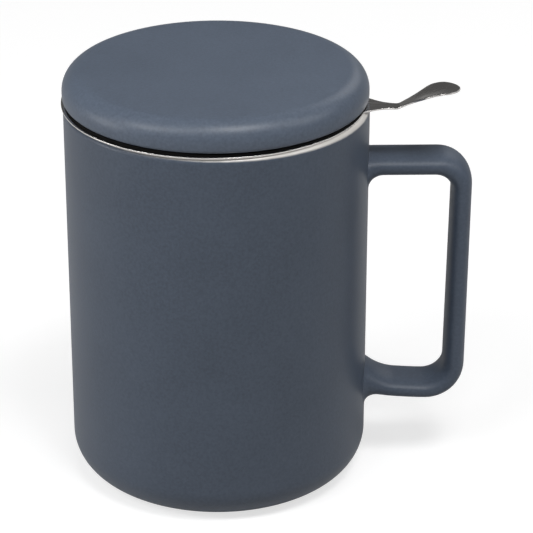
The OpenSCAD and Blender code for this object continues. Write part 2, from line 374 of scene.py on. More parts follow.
class Recipe(Nodes):
    """The nodes of one material, which feed a single surface shader."""

    def __init__(self, name: str, **values: float) -> None:
        """Starts a material.

        Args:
            name: The material's name.
            values: Constants of its shader, named with underscores for their spaces.
        """
        self.material = bpy.data.materials.new(name)
        self.material.use_nodes = True
        super().__init__(self.material.node_tree, "OutputMaterial")
        self.surface = self.add("BsdfPrincipled")
        self.put(self.surface.outputs["BSDF"], self.output.inputs["Surface"])
        for key, value in values.items():
            self.put(value, self.surface.inputs[key.replace("_", " ")])
        self.place = self.coordinates("Object")

    def stretched(self, scale: Triple, turn: float) -> NodeSocket:
        """The object's coordinates, turned about Z and then scaled.

        Args:
            scale: Scale along each axis.
            turn: The turn, in degrees.

        Returns:
            The coordinates' socket.
        """
        node = self.add("Mapping")
        node.inputs["Rotation"].default_value = (0, 0, math.radians(turn))
        node.inputs["Scale"].default_value = scale
        self.put(self.place, node.inputs["Vector"])
        return node.outputs["Vector"]

    def noise(
        self, size: float, detail: float = 2.0, place: NodeSocket | None = None
    ) -> NodeSocket:
        """A cloudy pattern from 0 to 1.

        Args:
            size: Size of its blotches, in metres, or in stretched units with a place.
            detail: Number of finer layers.
            place: Coordinates to read, or None for the object's own.

        Returns:
            The pattern's socket.
        """
        node = self.add("TexNoise")
        self.put(1 / size, node.inputs["Scale"])
        self.put(detail, node.inputs["Detail"])
        self.put(place or self.place, node.inputs["Vector"])
        return node.outputs["Fac"]

    def blend(
        self, share: NodeSocket, first: Colour | NodeSocket, second: Colour | NodeSocket
    ) -> NodeSocket:
        """Blends two colours.

        Args:
            share: Share of the second colour, from 0 to 1.
            first: The first colour.
            second: The second colour.

        Returns:
            The blended colour's socket.
        """
        node = self.add("Mix")
        node.data_type = "RGBA"
        self.put(share, node.inputs["Factor"])
        self.put(first, node.inputs[6])
        self.put(second, node.inputs[7])
        return node.outputs[2]

    def finished(
        self, colour: NodeSocket, height: NodeSocket, depth: float, gloss: NodeSocket | None = None
    ) -> Material:
        """Feeds the patterns to the surface shader.

        Args:
            colour: The base colour.
            height: The pattern that raises the surface, from 0 to 1.
            depth: Height of that relief, in metres.
            gloss: The roughness, or None where it is a constant.

        Returns:
            The finished material.
        """
        self.put(colour, self.surface.inputs["Base Color"])
        if gloss:
            self.put(gloss, self.surface.inputs["Roughness"])
        bump = self.add("Bump")
        self.put(1.0, bump.inputs["Strength"])
        self.put(depth, bump.inputs["Distance"])
        self.put(height, bump.inputs["Height"])
        self.put(bump.outputs["Normal"], self.surface.inputs["Normal"])
        return self.material


def tinted(colour: Colour, share: float) -> Colour:
    """A colour made lighter or darker by a share of itself."""
    return tuple(channel * share for channel in colour)


@dataclass(frozen=True)
class LinerGlaze:
    """The glossy white glaze of the inside and the lip."""

    name: str = "liner_glaze"
    colour: Colour = (0.74, 0.715, 0.68)
    roughness: float = 0.14
    pool_size: float = 14 * MM
    pool_band: Band = (0.35, 0.65)
    pool_tint: float = 0.96
    dimple_size: float = 5 * MM
    dimple_depth: float = 0.03 * MM

    def build(self) -> Material:
        """Builds the glaze: even gloss over shallow dimples, a little darker where it pools.

        Returns:
            The material.
        """
        recipe = Recipe(self.name, Roughness=self.roughness, IOR=GLAZE_IOR)
        pools = recipe.spread(recipe.noise(self.pool_size), self.pool_band)
        colour = recipe.blend(pools, tinted(self.colour, self.pool_tint), self.colour)
        dimples = recipe.noise(self.dimple_size, detail=1.0)
        return recipe.finished(colour, dimples, self.dimple_depth)


@dataclass(frozen=True)
class SlateGlaze:
    """The satin slate-blue glaze of the outside, which may end in a soft line at the lip."""

    name: str
    colour: Colour
    roughness: float = 0.38
    gloss_spread: Band = (-0.03, 0.04)
    specular: float = 0.36
    cloud_size: float = 22 * MM
    mottle_size: float = 0.8 * MM
    dark_tints: Band = (0.84, 0.94)
    pale_tints: Band = (1.06, 1.16)
    grain_size: float = 0.45 * MM
    grain_depth: float = 0.03 * MM
    line_height: float | None = None
    line_softness: float = 0.24 * MM
    line_wander: float = 0.07 * MM
    wander_size: float = 3 * MM
    line_tilt: float = 0.014
    above_line: LinerGlaze = LinerGlaze()

    def build(self) -> Material:
        """Builds the glaze: broad clouds, fine mottling and a satin grain.

        Returns:
            The material.
        """
        recipe = Recipe(self.name, IOR=GLAZE_IOR, Specular_IOR_Level=self.specular)
        clouds = recipe.spread(recipe.noise(self.cloud_size, detail=3.0), NOISE_BAND)
        mottle = recipe.spread(recipe.noise(self.mottle_size, detail=4.0), NOISE_BAND)
        dark, pale = (
            recipe.blend(clouds, tinted(self.colour, low), tinted(self.colour, high))
            for low, high in (self.dark_tints, self.pale_tints)
        )
        colour = recipe.blend(mottle, dark, pale)
        low, high = (self.roughness + change for change in self.gloss_spread)
        gloss = recipe.spread(mottle, (0, 1), low, high)
        if self.line_height is not None:
            over = self.share_over_line(recipe)
            colour = recipe.blend(over, colour, self.above_line.colour)
            drop = recipe.math("MULTIPLY", over, self.above_line.roughness - self.roughness)
            gloss = recipe.math("ADD", gloss, drop)
        grain = recipe.noise(self.grain_size, detail=3.0)
        return recipe.finished(colour, grain, self.grain_depth, gloss)

    def share_over_line(self, recipe: Recipe) -> NodeSocket:
        """The share of the white glaze, from 0 below the tilted, wandering line to 1 above it.

        Args:
            recipe: The node tree that takes the nodes.

        Returns:
            The socket that holds the share.
        """
        wander = recipe.spread(recipe.noise(self.wander_size), NOISE_BAND, -0.5, 0.5)
        moved = recipe.math("MULTIPLY", wander, self.line_wander)
        tilted = recipe.math("MULTIPLY", recipe.along(recipe.place, "X"), self.line_tilt)
        level = recipe.math("ADD", recipe.along(recipe.place, "Z"), tilted)
        height = recipe.math("ADD", level, moved)
        ends = (self.line_height - self.line_softness, self.line_height + self.line_softness)
        return recipe.spread(height, ends)


@dataclass(frozen=True)
class BareClay:
    """Unglazed porcelain where the pieces stood in the kiln."""

    name: str
    colour: Colour = (0.66, 0.60, 0.52)
    roughness: float = 0.85
    grain_size: float = 0.35 * MM
    grain_depth: float = 0.02 * MM
    speck_band: Band = (0.35, 0.6)
    speck_tint: float = 0.82

    def build(self) -> Material:
        """Builds the clay: a dry, fine-grained, slightly speckled surface.

        Returns:
            The material.
        """
        recipe = Recipe(self.name, Roughness=self.roughness)
        grain = recipe.noise(self.grain_size, detail=4.0)
        specks = recipe.spread(grain, self.speck_band)
        colour = recipe.blend(specks, tinted(self.colour, self.speck_tint), self.colour)
        return recipe.finished(colour, grain, self.grain_depth)


@dataclass(frozen=True)
class SheetSteel:
    """Stainless sheet with the fine lines of its rolling."""

    name: str
    colour: Colour = (0.86, 0.835, 0.815)
    roughness: float = 0.22
    roughness_spread: float = 0.08
    line_scale: Triple = (30.0, 1800.0, 1800.0)
    line_turn: float = 0.0
    line_depth: float = 0.002 * MM
    line_tint: float = 0.96
    smudge_size: float = 9 * MM
    gloss_band: Band = (0.7, 1.3)

    def build(self) -> Material:
        """Builds the steel: rolling lines in gloss and relief, and faint handling smudges.

        Returns:
            The material.
        """
        recipe = Recipe(self.name, Metallic=1.0)
        place = recipe.stretched(self.line_scale, self.line_turn)
        lines = recipe.noise(1.0, detail=3.0, place=place)
        smudges = recipe.noise(self.smudge_size, detail=3.0)
        mixed = recipe.math("ADD", lines, smudges)
        low, high = self.roughness - self.roughness_spread, self.roughness + self.roughness_spread
        gloss = recipe.spread(mixed, self.gloss_band, low, high)
        tone = recipe.blend(lines, tinted(self.colour, self.line_tint), self.colour)
        return recipe.finished(tone, lines, self.line_depth, gloss)


@dataclass(frozen=True)
class BlackSiliconeAndGapShade:
    """The matte black silicone of the seal, coloured near black so that it also paints the shade
    in the gap under the lid.
    """

    name: str = "black_silicone_and_gap_shade"
    # Darker than silicone itself: the near-black paints the shade in the gap between the lid and
    # the rim
    colour: Colour = (0.0030, 0.0030, 0.0032)
    roughness: float = 0.7
    specular: float = 0.08
    dust_size: float = 0.6 * MM
    dust_band: Band = (0.55, 0.75)
    dust_tint: float = 1.9
    grain_depth: float = 0.01 * MM

    def build(self) -> Material:
        """Builds the silicone: nearly black, with a trace of dust in its grain.

        Returns:
            The material.
        """
        recipe = Recipe(self.name, Roughness=self.roughness, Specular_IOR_Level=self.specular)
        grain = recipe.noise(self.dust_size, detail=3.0)
        dust = recipe.spread(grain, self.dust_band)
        colour = recipe.blend(dust, self.colour, tinted(self.colour, self.dust_tint))
        return recipe.finished(colour, grain, self.grain_depth)


class ClaySurface(IntEnum):
    """The finishes on the cup and on the lid, in the order of their materials."""

    OUTSIDE = 0
    LINER = 1
    BARE = 2


def clay_finishes(glaze: SlateGlaze, liner: str, clay: str) -> list[Material]:
    """Builds the three finishes of a porcelain piece.

    Args:
        glaze: The glaze of its outside.
        liner: Name of its white glaze.
        clay: Name of its bare clay.

    Returns:
        The materials, in the order of ClaySurface.
    """
    return [finish.build() for finish in (glaze, LinerGlaze(liner), BareClay(clay))]


# ---------------------------------------------------------------- the mug


@dataclass
class Cup:
    """The porcelain cup, turned from its section."""

    radius: float
    height: float
    wall: float = 4 * MM
    lip_outer_r: float = 1.6 * MM
    lip_inner_r: float = 1.1 * MM
    heel_r: float = 10.5 * MM
    floor_z: float = 6.6 * MM
    well_r: float = 8 * MM
    foot_h: float = 1.6 * MM
    foot_w: float = 4 * MM
    foot_draft: float = 1.2 * MM
    foot_edge_r: float = 0.5 * MM
    foot_bend_share: float = 0.9
    recess_lean_share: float = 0.5
    recess_bend: float = 0.6 * MM
    glaze_line: float = 0.64 * MM
    liner_edge: float = 0.12 * MM
    bare_angle: float = 16.0
    foot_steps: int = 4
    heel_steps: int = 20
    lip_steps: int = 9
    liner_steps: int = 3
    mouth_steps: int = 8
    well_steps: int = 14
    segments: int = 224

    @property
    def line_z(self) -> float:
        """Mean height of the line where the white glaze of the lip ends."""
        return self.height - self.glaze_line

    def section(self) -> list[Stretch]:
        """The cup's section, from the middle of its underside round to the middle of its floor.

        Returns:
            The stretches of the section with their finishes.
        """
        stand_r = self.radius - self.heel_r
        recess_r = stand_r - self.foot_w
        lip = (self.radius - self.lip_outer_r, self.height - self.lip_outer_r)
        liner_angle = math.degrees(math.asin(1 - self.liner_edge / self.lip_outer_r))
        mouth_r = self.radius - self.wall
        lip_in = (mouth_r + self.lip_inner_r, self.height - self.lip_inner_r)
        well = (mouth_r - self.well_r, self.floor_z + self.well_r)
        recess_line = [
            (0, self.foot_h),
            (recess_r - self.foot_draft, self.foot_h),
            (recess_r - self.foot_edge_r * self.recess_lean_share, self.foot_edge_r),
        ]
        recess = eased(recess_line, self.recess_bend, self.foot_steps)
        foot_line = [recess[-1], (recess_r, 0), (stand_r, 0)]
        foot = eased(foot_line, self.foot_edge_r * self.foot_bend_share, self.foot_steps)
        heel = (stand_r, self.heel_r)
        bare_end = self.bare_angle - 90
        outside = [
            arc(heel, self.heel_r, bare_end, 0, self.heel_steps),
            [(self.radius, self.heel_r), (self.radius, lip[1])],
            arc(lip, self.lip_outer_r, 0, liner_angle, self.lip_steps),
        ]
        inside = [
            arc(lip, self.lip_outer_r, liner_angle, 90, self.liner_steps),
            [(lip[0], self.height), (lip_in[0], self.height)],
            arc(lip_in, self.lip_inner_r, 90, 180, self.mouth_steps),
            [(mouth_r, lip_in[1]), (mouth_r, well[1])],
            arc(well, self.well_r, 0, -90, self.well_steps),
            [(well[0], self.floor_z), (0, self.floor_z)],
        ]
        bare = [foot, arc(heel, self.heel_r, -90, bare_end, self.foot_steps)]
        return [Stretch(recess, ClaySurface.OUTSIDE)] + [
            Stretch(points, finish)
            for finish, lines in (
                (ClaySurface.BARE, bare),
                (ClaySurface.OUTSIDE, outside),
                (ClaySurface.LINER, inside),
            )
            for points in lines
        ]

    def build(self) -> Object:
        """Turns the cup and dresses it.

        Returns:
            The cup's object.
        """
        glaze = SlateGlaze("cup_glaze", SLATE, line_height=self.line_z)
        finishes = clay_finishes(glaze, "cup_liner", "foot_clay")
        placing = Placing("cup", "mug", "outer_glaze", ("mug_body",))
        return make_piece(turned(self.section(), self.segments), placing, finishes)


@dataclass(frozen=True)
class Flare:
    """A spread of the strap at its root, as the arc of an ellipse or as a long slope."""

    height: float
    length: float
    sloped: bool = False

    def at(self, distance: float) -> float:
        """The spread at a distance from the wall.

        Args:
            distance: Distance from the cup's wall.

        Returns:
            The spread of the strap's face, falling to 0 at the flare's length.
        """
        left = 1 - min(max(distance, 0.0), self.length) / self.length
        if self.sloped:
            return self.height * left**2
        return self.height * (1 - math.sqrt(1 - left * left))


@dataclass(frozen=True)
class Root:
    """How an arm of the handle spreads where it meets the cup."""

    outer: Flare
    inner: Flare
    side: Flare


@dataclass(frozen=True)
class Rib:
    """One station of the strap: its outer and inner point from the front, and its width.

    The wall's share says how far the station follows the cup's round wall, from 0 to 1.
    """

    outer: Vector
    inner: Vector
    width: float
    wall_share: float = 0.0


@dataclass
class StrapHandle:
    """The square handle, lofted through ribs from the upper root to the lower one."""

    cup_radius: float
    outer_x: float
    top_z: float = 97.4 * MM
    low_z: float = 21.2 * MM
    low_bend_z: float = 19.9 * MM
    lean: float = 0.4 * MM
    thickness: float = 5.9 * MM
    upper_thickness: float = 6.3 * MM
    low_thickness: float = 6.2 * MM
    width: float = 14.8 * MM
    fullness: float = 2.35
    upper_outer_r: float = 9.5 * MM
    upper_inner_r: float = 5.2 * MM
    lower_outer_r: float = 11.2 * MM
    lower_inner_r: float = 6 * MM
    upper_root: Root = Root(
        Flare(0.1 * MM, 4 * MM), Flare(4.4 * MM, 4.2 * MM), Flare(1.3 * MM, 4.4 * MM)
    )
    lower_root: Root = Root(
        Flare(3.7 * MM, 4 * MM), Flare(3.8 * MM, 9 * MM, True), Flare(1.8 * MM, 4.6 * MM)
    )
    buried: float = 1.2 * MM
    root_l: float = 9 * MM
    root_shares: tuple[float, ...] = (
        *(0, 0.003, 0.01, 0.022, 0.04, 0.065, 0.1, 0.145, 0.2, 0.27, 0.35),
        *(0.43, 0.5, 0.57, 0.64, 0.72, 0.81, 0.9, 1),
    )
    arm_steps: int = 5
    climb_power: float = 1.4
    section_points: int = 48
    bend_steps: int = 14
    # Share by which the handle's glaze is painted lighter than the cup's: painted light on the
    # handle
    painted_light_tint: float = 1.12
    roughness: float = 0.46

    def arm_ribs(
        self, root: Root, outer_z: float, inner_z: float, bend_x: float, climb: float = 0.0
    ) -> list[Rib]:
        """The ribs of an arm, from inside the cup's wall almost to its bend.

        Args:
            root: The flares at the arm's root.
            outer_z: Height of the arm's outer face at its bend.
            inner_z: Height of the arm's inner face at its bend.
            bend_x: Where the bend starts.
            climb: How much higher the arm lies at the wall than at its bend.

        Returns:
            The ribs in order of their distance from the wall.
        """
        up = math.copysign(1.0, outer_z - inner_z)
        reach = bend_x - self.cup_radius
        plain = reach - self.root_l
        distances = [-self.buried] + [share * self.root_l for share in self.root_shares]
        distances += [
            self.root_l + plain * i / self.arm_steps for i in range(1, self.arm_steps)
        ]
        ribs = []
        for distance in distances:
            x = self.cup_radius + distance
            lift = climb * (1 - max(distance, 0.0) / reach) ** self.climb_power
            ribs.append(
                Rib(
                    Vector((x, outer_z + lift + up * root.outer.at(distance))),
                    Vector((x, inner_z + lift - up * root.inner.at(distance))),
                    self.width + 2 * root.side.at(distance),
                    min(1.0, max(0.0, 1 - distance / self.root_l)),
                )
            )
        return ribs

    def bend_ribs(
        self, outer: Point, outer_r: float, inner: Point, inner_r: float, start: float
    ) -> list[Rib]:
        """The ribs of a quarter bend.

        Args:
            outer: Centre of the outer arc.
            outer_r: Radius of the outer arc.
            inner: Centre of the inner arc.
            inner_r: Radius of the inner arc.
            start: Angle where the bend starts, in degrees; it turns down by 90 from there.

        Returns:
            The ribs along the bend.
        """
        outside = arc(outer, outer_r, start, start - 90, self.bend_steps)
        inside = arc(inner, inner_r, start, start - 90, self.bend_steps)
        return [Rib(Vector(o), Vector(i), self.width) for o, i in zip(outside, inside)]

    def ribs(self) -> list[Rib]:
        """All the ribs, from the upper root round to the lower one.

        Returns:
            The ribs in order.
        """
        low_outer_x = self.outer_x - self.lean
        under_z = self.top_z - self.upper_thickness
        over_z = self.low_bend_z + self.thickness
        outer_bend_x = self.outer_x - self.upper_outer_r
        inner_bend_x = self.outer_x - self.thickness - self.upper_inner_r
        low_inner_bend_x = low_outer_x - self.low_thickness - self.lower_inner_r
        bend = self.bend_ribs(
            (outer_bend_x, self.top_z - self.upper_outer_r),
            self.upper_outer_r,
            (inner_bend_x, under_z - self.upper_inner_r),
            self.upper_inner_r,
            90,
        )
        low_bend = self.bend_ribs(
            (low_outer_x - self.lower_outer_r, self.low_bend_z + self.lower_outer_r),
            self.lower_outer_r,
            (low_inner_bend_x, over_z + self.lower_inner_r),
            self.lower_inner_r,
            0,
        )
        climb = self.low_z - self.low_bend_z
        upper = self.arm_ribs(self.upper_root, self.top_z, under_z, inner_bend_x)
        lower = self.arm_ribs(self.lower_root, self.low_bend_z, over_z, low_inner_bend_x, climb)
        lower.reverse()
        return upper + bend + low_bend + lower

    def start_face(self, bm: BMesh) -> BMFace:
        """Makes the strap's section, a flat pillow shape, as a face one unit across each way.

        Args:
            bm: The mesh that takes it.

        Returns:
            The face, whose X lies across the strap's thickness and Y across its width.
        """
        bmesh.ops.create_circle(bm, cap_ends=True, segments=self.section_points, radius=1)
        for vert in bm.verts:
            swell = (abs(vert.co.x) ** self.fullness + abs(vert.co.y) ** self.fullness) ** (
                -1 / self.fullness
            )
            vert.co = vert.co * swell / 2
        bm.faces.ensure_lookup_table()
        return bm.faces[0]

    def place(self, local: Vector, rib: Rib) -> Vector:
        """Where a point of the plain section lies on a rib.

        Args:
            local: The point on the plain section.
            rib: The rib.

        Returns:
            The point in the frame.
        """
        y = local.y * rib.width
        point = (rib.outer + rib.inner) / 2 + (rib.outer - rib.inner) * local.x
        set_back = self.cup_radius - math.sqrt(self.cup_radius**2 - y * y)
        return Vector((point.x - set_back * rib.wall_share, y, point.y))

    def build(self) -> Object:
        """Lofts the handle by extruding its section from rib to rib.

        Returns:
            The handle's object.
        """
        bm = bmesh.new()
        face = self.start_face(bm)
        section = bm.verts.layers.float_vector.new("section")
        for vert in bm.verts:
            vert[section] = vert.co
        ribs = self.ribs()
        for vert in bm.verts:
            vert.co = self.place(Vector(vert[section]), ribs[0])
        for rib in ribs[1:]:
            grown = bmesh.ops.extrude_face_region(bm, geom=[face], use_keep_orig=rib is ribs[1])
            face = next(item for item in grown["geom"] if isinstance(item, BMFace))
            for vert in face.verts:
                vert.co = self.place(Vector(vert[section]), rib)
        bm.verts.layers.float_vector.remove(bm.verts.layers.float_vector["section"])
        bmesh.ops.recalc_face_normals(bm, faces=bm.faces)
        placing = Placing("strap_handle", "mug", "outer_glaze", ("mug_handle",))
        # The handle's glaze is the cup's slate painted lighter, as painted light on the handle
        glaze = SlateGlaze("handle_glaze_painted_lighter", tinted(SLATE, self.painted_light_tint), self.roughness)
        return make_piece(bm, placing, [glaze.build()])


# ---------------------------------------------------------------- the lid


@dataclass
class Lid:
    """The porcelain lid, turned from its section, with the ring that drops into the neck."""

    axis_x: float
    radius: float
    top_z: float
    low_z: float
    thickness: float = 8.3 * MM
    edge_r: float = 5.8 * MM
    lower_r: float = 1.2 * MM
    dish: float = 0.12 * MM
    ring_r: float = 35.25 * MM
    ring_w: float = 4 * MM
    ring_edge_r: float = 0.8 * MM
    recess: float = 2.4 * MM
    corner_r: float = 0.9 * MM
    under_bend: float = 0.5 * MM
    under_steps: int = 4
    dish_shares: tuple[float, ...] = (0, 0.15, 0.3, 0.45, 0.6, 0.75, 0.88, 1)
    shoulder_steps: int = 18
    edge_steps: int = 5
    segments: int = 224

    def section(self) -> list[Stretch]:
        """The lid's section, from the middle of its top round to the middle of its recess.

        Returns:
            The stretches of the section with their finishes.
        """
        under_z = self.top_z - self.thickness
        shoulder = (self.radius - self.edge_r, self.top_z - self.edge_r)
        lower = (self.radius - self.lower_r, under_z + self.lower_r)
        ring_in = self.ring_r - self.ring_w
        outer_edge = (self.ring_r - self.ring_edge_r, self.low_z + self.ring_edge_r)
        inner_edge = (ring_in + self.ring_edge_r, self.low_z + self.ring_edge_r)
        ceiling = under_z + self.recess
        middle = [
            (shoulder[0] * t, self.top_z - self.dish * (1 - t * t) ** 2)
            for t in self.dish_shares
        ]
        under_line = [(lower[0], under_z), (self.ring_r, under_z), (self.ring_r, outer_edge[1])]
        under = eased(under_line, self.under_bend, self.under_steps)
        recess_line = [(ring_in, inner_edge[1]), (ring_in, ceiling), (0, ceiling)]
        recess = eased(recess_line, self.corner_r, self.edge_steps)
        outside = [
            middle,
            arc(shoulder, self.edge_r, 90, 0, self.shoulder_steps),
            [(self.radius, shoulder[1]), (self.radius, lower[1])],
            arc(lower, self.lower_r, 0, -90, self.edge_steps),
        ]
        bare = [
            arc(outer_edge, self.ring_edge_r, 0, -90, self.edge_steps),
            [(outer_edge[0], self.low_z), (inner_edge[0], self.low_z)],
            arc(inner_edge, self.ring_edge_r, -90, -180, self.edge_steps),
        ]
        return [
            Stretch(points, finish)
            for finish, lines in (
                (ClaySurface.OUTSIDE, outside),
                (ClaySurface.LINER, [under]),
                (ClaySurface.BARE, bare),
                (ClaySurface.LINER, [recess]),
            )
            for points in lines
        ]

    def build(self) -> Object:
        """Turns the lid and dresses it.

        Returns:
            The lid's object.
        """
        # The lid's glaze is painted lighter than the cup's, as painted light on its top
        glaze = SlateGlaze("lid_glaze_painted_lighter", LID_SLATE_PAINTED_LIGHTER)
        finishes = clay_finishes(glaze, "lid_liner", "ring_clay")
        bm = turned(self.section(), self.segments)
        shift(bm, self.axis_x)
        return make_piece(bm, Placing("round_lid", "lid", "lid_glaze", ("lid",)), finishes)


@dataclass
class LidSeal:
    """The silicone ring under the lid: a flat washer with a sleeve that grips the ring."""

    axis_x: float
    outer_r: float
    top_z: float
    low_z: float
    bore_r: float = 35.3 * MM
    washer_t: float = 0.95 * MM
    sleeve_t: float = 0.8 * MM
    edge_r: float = 0.25 * MM
    edge_steps: int = 3
    segments: int = 192

    def build(self) -> Object:
        """Turns the seal and dresses it.

        Returns:
            The seal's object.
        """
        washer_low = self.top_z - self.washer_t
        sleeve_r = self.bore_r + self.sleeve_t
        start = (self.bore_r, (self.top_z + self.low_z) / 2)
        corners = [
            start,
            (self.bore_r, self.top_z),
            (self.outer_r, self.top_z),
            (self.outer_r, washer_low),
            (sleeve_r, washer_low),
            (sleeve_r, self.low_z),
            (self.bore_r, self.low_z),
            start,
        ]
        bm = turned([Stretch(eased(corners, self.edge_r, self.edge_steps))], self.segments)
        shift(bm, self.axis_x)
        placing = Placing("seal_ring", "lid", "seal", ("lid_seal",))
        # The seal's near-black colour also paints the shade in the gap under the lid
        return make_piece(bm, placing, [BlackSiliconeAndGapShade().build()])


# ---------------------------------------------------------------- the infuser


@dataclass
class RimAndTab:
    """The pressed rim: one sheet from the spoon of its lift tab down to the basket's skirt."""

    axis_x: float
    edge_r: float
    top_z: float
    turn: float
    sheet_t: float = 0.45 * MM
    neck_r: float = 37.8 * MM
    neck_bend_r: float = 1 * MM
    neck_h: float = 8.15 * MM
    skirt_r: float = 34.25 * MM
    step_h: float = 2.2 * MM
    skirt_h: float = 4 * MM
    crease_r: float = 0.9 * MM
    tab_reach: float = 25.9 * MM
    waist_at: float = 8.1 * MM
    waist_w: float = 3.9 * MM
    root_side_r: float = 10.5 * MM
    side_r: float = 13 * MM
    spoon_w: float = 10.2 * MM
    spoon_l: float = 13.4 * MM
    spoon_dish: float = 0.35 * MM
    shoulder_ease: float = 0.45 * MM
    rise: float = 5.9 * MM
    slope: float = 29.5
    waist_bend_r: float = 2.2 * MM
    spoon_bend_r: float = 12.6 * MM
    neck_bend_steps: int = 8
    crease_steps: int = 5
    root_columns: int = 12
    root_rows: int = 8
    waist_l: float = 1.3 * MM
    waist_rows: int = 6
    slope_rows: int = 16
    spoon_rows: int = 12
    edge_ease: float = 0.08 * MM
    segments: int = 288

    @property
    def waist_x(self) -> float:
        """Distance of the tab's waist from the infuser's axis."""
        return self.edge_r + self.waist_at

    @property
    def tip_x(self) -> float:
        """Distance of the tab's tip from the infuser's axis."""
        return self.edge_r + self.tab_reach

    @property
    def spoon_x(self) -> float:
        """Distance of the spoon's middle from the infuser's axis."""
        return self.tip_x - self.spoon_l / 2

    def rim_section(self) -> list[Point]:
        """The upper and inner face of the rim, its bend, the neck, the step and the skirt.

        Returns:
            The points of the section, from the rim's edge inward.
        """
        bore = self.neck_r - self.sheet_t
        skirt_bore = self.skirt_r - self.sheet_t
        bend = (self.neck_r + self.neck_bend_r, self.top_z - self.sheet_t - self.neck_bend_r)
        neck_foot = self.top_z - self.neck_h
        step_foot = neck_foot - self.step_h
        turn_in = arc(bend, self.neck_bend_r + self.sheet_t, 90, 180, self.neck_bend_steps)
        neck_line = [
            (bore, bend[1]),
            (bore, neck_foot),
            (skirt_bore, step_foot),
            (skirt_bore, step_foot - self.skirt_h),
        ]
        steps = eased(neck_line, self.crease_r, self.crease_steps)
        return [(self.edge_r, self.top_z)] + turn_in + steps[1:]

    def half_width(self, x: float) -> float:
        """Half the tab's width at a distance from the axis, up to the middle of the spoon.

        Args:
            x: Distance from the infuser's axis.

        Returns:
            Half the width there.
        """
        side_r = self.root_side_r if x < self.waist_x else self.side_r
        along = min(abs(x - self.waist_x), side_r)
        hollow = self.waist_w / 2 + side_r - math.sqrt(side_r**2 - along**2)
        ease = self.shoulder_ease
        both = math.exp(-hollow / ease) + math.exp(-self.spoon_w / 2 / ease)
        return -ease * math.log(both)

    def tab_height(self, x: float) -> float:
        """Height of the tab's upper face at a distance from the axis.

        Args:
            x: Distance from the infuser's axis.

        Returns:
            The height in the frame.
        """
        slope = math.radians(self.slope)
        spoon_r = self.spoon_bend_r + self.sheet_t
        bends = (self.waist_bend_r + spoon_r) * (1 - math.cos(slope))
        run = (self.rise - bends) / math.tan(slope)
        x1 = self.waist_x + self.waist_bend_r * math.sin(slope)
        x2 = x1 + run
        x3 = x2 + spoon_r * math.sin(slope)
        if x <= self.waist_x:
            return self.top_z
        if x <= x1:
            across = x - self.waist_x
            lift = self.waist_bend_r - math.sqrt(self.waist_bend_r**2 - across**2)
            return self.top_z + lift
        if x <= x2:
            lift = self.waist_bend_r * (1 - math.cos(slope))
            return self.top_z + lift + (x - x1) * math.tan(slope)
        if x <= x3:
            across = x3 - x
            return self.top_z + self.rise - spoon_r + math.sqrt(spoon_r**2 - across**2)
        return self.top_z + self.rise

    def tab_point(self, share: float, along: float) -> Vector:
        """A point on the tab's upper face.

        Args:
            share: Place across the tab, from -1 to 1.
            along: Distance from the axis up to the spoon's middle, and beyond it the distance
                along the spoon's middle line.

        Returns:
            The point in the frame, before the infuser is turned and seated.
        """
        if along <= self.spoon_x:
            x, y = along, share * self.half_width(along)
        else:
            outward = (along - self.spoon_x) / (self.tip_x - self.spoon_x)
            x = self.spoon_x + (along - self.spoon_x) * math.sqrt(1 - share * share / 2)
            y = share * self.half_width(self.spoon_x) * math.sqrt(1 - outward**2 / 2)
        off = Vector(((x - self.spoon_x) / (self.spoon_l / 2), y / (self.spoon_w / 2)))
        dish = self.spoon_dish * max(0.0, 1 - off.length_squared) ** 1.5
        return Vector((x, y, self.tab_height(x) - dish))

    def tab_stations(self) -> list[float]:
        """Distances along the tab where its rows of points lie.

        Returns:
            The distances from the axis, in order.
        """
        waist_end = self.waist_x + self.waist_l
        marks = [
            (self.edge_r, self.waist_x, self.root_rows),
            (self.waist_x, waist_end, self.waist_rows),
            (waist_end, self.spoon_x, self.slope_rows),
            (self.spoon_x, self.tip_x, self.spoon_rows),
        ]
        stations = []
        for low, high, count in marks:
            stations += [low + (high - low) * (i + 1) / count for i in range(count)]
        return stations

    def add_tab(self, bm: BMesh) -> None:
        """Draws the tab out of the rim's edge, row by row.

        Args:
            bm: The mesh of the rim.
        """
        step = math.tau / self.segments
        widest = (self.root_columns / 2 + 0.5) * step
        row = [
            edge
            for edge in bm.edges
            if edge.is_boundary
            and all(
                math.hypot(v.co.x, v.co.y) > self.edge_r - SAME
                and abs(math.atan2(v.co.y, v.co.x)) < widest
                for v in edge.verts
            )
        ]
        across = bm.verts.layers.float.new("across")
        root_y = self.edge_r * math.sin(self.root_columns / 2 * step)
        for edge in row:
            for vert in edge.verts:
                vert[across] = vert.co.y / root_y
        for station in self.tab_stations():
            row, verts = next_row(bm, row)
            for vert in verts:
                vert.co = self.tab_point(vert[across], station)
        bm.verts.layers.float.remove(bm.verts.layers.float["across"])

    def build(self) -> Object:
        """Turns the rim, draws the tab out of it and gives the sheet its thickness.

        Returns:
            The object of the rim and its tab.
        """
        bm = turned([Stretch(self.rim_section())], self.segments)
        self.add_tab(bm)
        bmesh.ops.recalc_face_normals(bm, faces=bm.faces)
        flat = max(bm.faces, key=lambda face: face.calc_center_median().x)
        if flat.normal.z < 0:
            bmesh.ops.reverse_faces(bm, faces=bm.faces)
        shift(bm, self.axis_x, self.turn)
        steel = SheetSteel("rim_steel", line_turn=-self.turn)
        placing = Placing("rim_and_lift_tab", "infuser", "polished_steel", ("infuser_rim",))
        piece = make_piece(bm, placing, [steel.build()])
        thicken(piece, self.sheet_t, self.edge_ease)
        return piece


